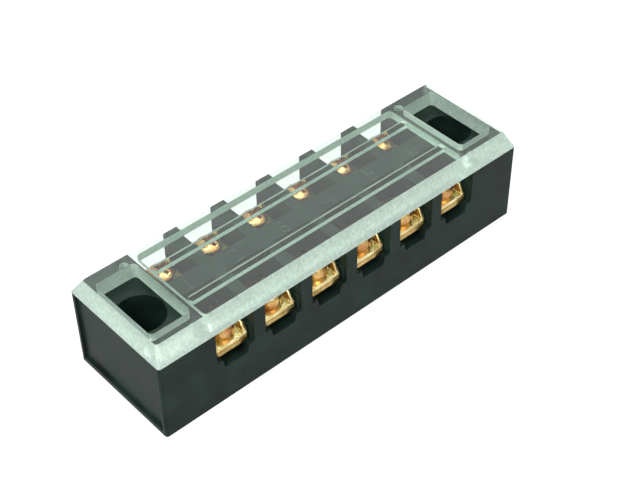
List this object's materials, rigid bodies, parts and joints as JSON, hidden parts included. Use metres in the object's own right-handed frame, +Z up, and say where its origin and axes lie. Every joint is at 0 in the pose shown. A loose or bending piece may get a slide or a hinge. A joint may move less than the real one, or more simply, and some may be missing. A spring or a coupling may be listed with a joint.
{
  "type": "barrier terminal strip",
  "caption": "Barrier terminal strip: a dark moulded base with two rows of screw clamps joined in pairs, under a clear clip-on cover with open ends.",
  "frame": {"origin": "centre of the base's underside", "axes": "+X along the strip, +Y across it towards the far row, +Z up out of the base"},
  "size_m": [0.0754, 0.022, 0.0177],
  "materials": {
    "phenolic": "moulded, satin",
    "clear_cover": "clear moulded plastic",
    "link_brass": "stamped",
    "washer_brass": "stamped",
    "screw_metal": "plated"
  },
  "bodies": {
    "base_body": {"base": "phenolic", "link_bar_1": "link_brass", "link_bar_2": "link_brass", "link_bar_3": "link_brass", "link_bar_4": "link_brass", "link_bar_5": "link_brass", "link_bar_6": "link_brass"},
    "cover_body": {"cover": "clear_cover"},
    "washer_near_1": {"clamp_washer_near_1": "washer_brass"},
    "screw_near_1": {"terminal_screw_near_1": "screw_metal"},
    "washer_near_2": {"clamp_washer_near_2": "washer_brass"},
    "screw_near_2": {"terminal_screw_near_2": "screw_metal"},
    "washer_near_3": {"clamp_washer_near_3": "washer_brass"},
    "screw_near_3": {"terminal_screw_near_3": "screw_metal"},
    "washer_near_4": {"clamp_washer_near_4": "washer_brass"},
    "screw_near_4": {"terminal_screw_near_4": "screw_metal"},
    "washer_near_5": {"clamp_washer_near_5": "washer_brass"},
    "screw_near_5": {"terminal_screw_near_5": "screw_metal"},
    "washer_near_6": {"clamp_washer_near_6": "washer_brass"},
    "screw_near_6": {"terminal_screw_near_6": "screw_metal"},
    "washer_far_1": {"clamp_washer_far_1": "washer_brass"},
    "screw_far_1": {"terminal_screw_far_1": "screw_metal"},
    "washer_far_2": {"clamp_washer_far_2": "washer_brass"},
    "screw_far_2": {"terminal_screw_far_2": "screw_metal"},
    "washer_far_3": {"clamp_washer_far_3": "washer_brass"},
    "screw_far_3": {"terminal_screw_far_3": "screw_metal"},
    "washer_far_4": {"clamp_washer_far_4": "washer_brass"},
    "screw_far_4": {"terminal_screw_far_4": "screw_metal"},
    "washer_far_5": {"clamp_washer_far_5": "washer_brass"},
    "screw_far_5": {"terminal_screw_far_5": "screw_metal"},
    "washer_far_6": {"clamp_washer_far_6": "washer_brass"},
    "screw_far_6": {"terminal_screw_far_6": "screw_metal"}
  },
  "joints": [
    {"name": "cover_lift", "type": "slide", "parent": "base_body", "child": "cover_body", "axis": [0, 0, 1], "range_m": [0, 0.008]},
    {"name": "clamp_rise_near_1", "type": "slide", "parent": "base_body", "child": "washer_near_1", "axis": [0, 0, 1], "range_m": [0, 0.00225]},
    {"name": "screw_turn_near_1", "type": "hinge", "parent": "washer_near_1", "child": "screw_near_1", "pos_m": [-0.02375, -0.0072, 0.0102], "axis": [0, 0, 1], "range_deg": [0, 1800]},
    {"name": "clamp_rise_near_2", "type": "slide", "parent": "base_body", "child": "washer_near_2", "axis": [0, 0, 1], "range_m": [0, 0.00225]},
    {"name": "screw_turn_near_2", "type": "hinge", "parent": "washer_near_2", "child": "screw_near_2", "pos_m": [-0.01425, -0.0072, 0.0102], "axis": [0, 0, 1], "range_deg": [0, 1800]},
    {"name": "clamp_rise_near_3", "type": "slide", "parent": "base_body", "child": "washer_near_3", "axis": [0, 0, 1], "range_m": [0, 0.00225]},
    {"name": "screw_turn_near_3", "type": "hinge", "parent": "washer_near_3", "child": "screw_near_3", "pos_m": [-0.00475, -0.0072, 0.0102], "axis": [0, 0, 1], "range_deg": [0, 1800]},
    {"name": "clamp_rise_near_4", "type": "slide", "parent": "base_body", "child": "washer_near_4", "axis": [0, 0, 1], "range_m": [0, 0.00225]},
    {"name": "screw_turn_near_4", "type": "hinge", "parent": "washer_near_4", "child": "screw_near_4", "pos_m": [0.00475, -0.0072, 0.0102], "axis": [0, 0, 1], "range_deg": [0, 1800]},
    {"name": "clamp_rise_near_5", "type": "slide", "parent": "base_body", "child": "washer_near_5", "axis": [0, 0, 1], "range_m": [0, 0.00225]},
    {"name": "screw_turn_near_5", "type": "hinge", "parent": "washer_near_5", "child": "screw_near_5", "pos_m": [0.01425, -0.0072, 0.0102], "axis": [0, 0, 1], "range_deg": [0, 1800]},
    {"name": "clamp_rise_near_6", "type": "slide", "parent": "base_body", "child": "washer_near_6", "axis": [0, 0, 1], "range_m": [0, 0.00225]},
    {"name": "screw_turn_near_6", "type": "hinge", "parent": "washer_near_6", "child": "screw_near_6", "pos_m": [0.02375, -0.0072, 0.0102], "axis": [0, 0, 1], "range_deg": [0, 1800]},
    {"name": "clamp_rise_far_1", "type": "slide", "parent": "base_body", "child": "washer_far_1", "axis": [0, 0, 1], "range_m": [0, 0.00225]},
    {"name": "screw_turn_far_1", "type": "hinge", "parent": "washer_far_1", "child": "screw_far_1", "pos_m": [-0.02375, 0.0072, 0.0102], "axis": [0, 0, 1], "range_deg": [0, 1800]},
    {"name": "clamp_rise_far_2", "type": "slide", "parent": "base_body", "child": "washer_far_2", "axis": [0, 0, 1], "range_m": [0, 0.00225]},
    {"name": "screw_turn_far_2", "type": "hinge", "parent": "washer_far_2", "child": "screw_far_2", "pos_m": [-0.01425, 0.0072, 0.0102], "axis": [0, 0, 1], "range_deg": [0, 1800]},
    {"name": "clamp_rise_far_3", "type": "slide", "parent": "base_body", "child": "washer_far_3", "axis": [0, 0, 1], "range_m": [0, 0.00225]},
    {"name": "screw_turn_far_3", "type": "hinge", "parent": "washer_far_3", "child": "screw_far_3", "pos_m": [-0.00475, 0.0072, 0.0102], "axis": [0, 0, 1], "range_deg": [0, 1800]},
    {"name": "clamp_rise_far_4", "type": "slide", "parent": "base_body", "child": "washer_far_4", "axis": [0, 0, 1], "range_m": [0, 0.00225]},
    {"name": "screw_turn_far_4", "type": "hinge", "parent": "washer_far_4", "child": "screw_far_4", "pos_m": [0.00475, 0.0072, 0.0102], "axis": [0, 0, 1], "range_deg": [0, 1800]},
    {"name": "clamp_rise_far_5", "type": "slide", "parent": "base_body", "child": "washer_far_5", "axis": [0, 0, 1], "range_m": [0, 0.00225]},
    {"name": "screw_turn_far_5", "type": "hinge", "parent": "washer_far_5", "child": "screw_far_5", "pos_m": [0.01425, 0.0072, 0.0102], "axis": [0, 0, 1], "range_deg": [0, 1800]},
    {"name": "clamp_rise_far_6", "type": "slide", "parent": "base_body", "child": "washer_far_6", "axis": [0, 0, 1], "range_m": [0, 0.00225]},
    {"name": "screw_turn_far_6", "type": "hinge", "parent": "washer_far_6", "child": "screw_far_6", "pos_m": [0.02375, 0.0072, 0.0102], "axis": [0, 0, 1], "range_deg": [0, 1800]}
  ],
  "couplings": [
    {"joint": "screw_turn_near_1", "follows": "clamp_rise_near_1", "rad_per_m": 13963},
    {"joint": "screw_turn_near_2", "follows": "clamp_rise_near_2", "rad_per_m": 13963},
    {"joint": "screw_turn_near_3", "follows": "clamp_rise_near_3", "rad_per_m": 13963},
    {"joint": "screw_turn_near_4", "follows": "clamp_rise_near_4", "rad_per_m": 13963},
    {"joint": "screw_turn_near_5", "follows": "clamp_rise_near_5", "rad_per_m": 13963},
    {"joint": "screw_turn_near_6", "follows": "clamp_rise_near_6", "rad_per_m": 13963},
    {"joint": "screw_turn_far_1", "follows": "clamp_rise_far_1", "rad_per_m": 13963},
    {"joint": "screw_turn_far_2", "follows": "clamp_rise_far_2", "rad_per_m": 13963},
    {"joint": "screw_turn_far_3", "follows": "clamp_rise_far_3", "rad_per_m": 13963},
    {"joint": "screw_turn_far_4", "follows": "clamp_rise_far_4", "rad_per_m": 13963},
    {"joint": "screw_turn_far_5", "follows": "clamp_rise_far_5", "rad_per_m": 13963},
    {"joint": "screw_turn_far_6", "follows": "clamp_rise_far_6", "rad_per_m": 13963}
  ]
}
